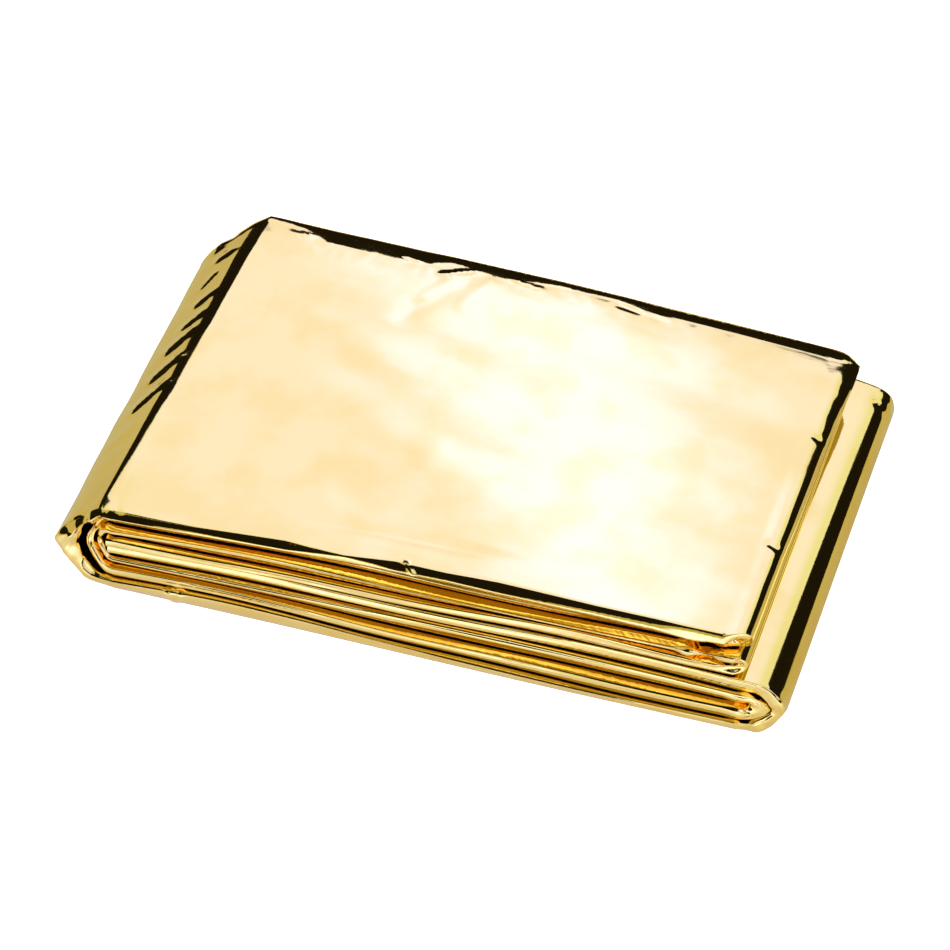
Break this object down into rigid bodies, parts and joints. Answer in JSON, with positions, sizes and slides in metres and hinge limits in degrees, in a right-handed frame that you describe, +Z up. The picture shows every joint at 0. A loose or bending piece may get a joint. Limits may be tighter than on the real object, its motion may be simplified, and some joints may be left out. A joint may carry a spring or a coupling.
{
  "type": "emergency foil blanket",
  "caption": "Gold foil emergency blanket folded into a flat oblong pack, its strip laid back and forth with a short upper bundle on a longer lower one.",
  "frame": {"origin": "middle of the pack's underside, on the surface it rests on", "axes": "+X along the pack's long side, from the wrapped end to the stepped end; +Y from the front folded edge to the back one; +Z up"},
  "size_m": [0.1308, 0.08, 0.021],
  "materials": {
    "gold_foil": "mirror-bright gold metallised film, with soft creases"
  },
  "bodies": {
    "root": {"foil_blanket": "gold_foil"}
  },
  "joints": []
}
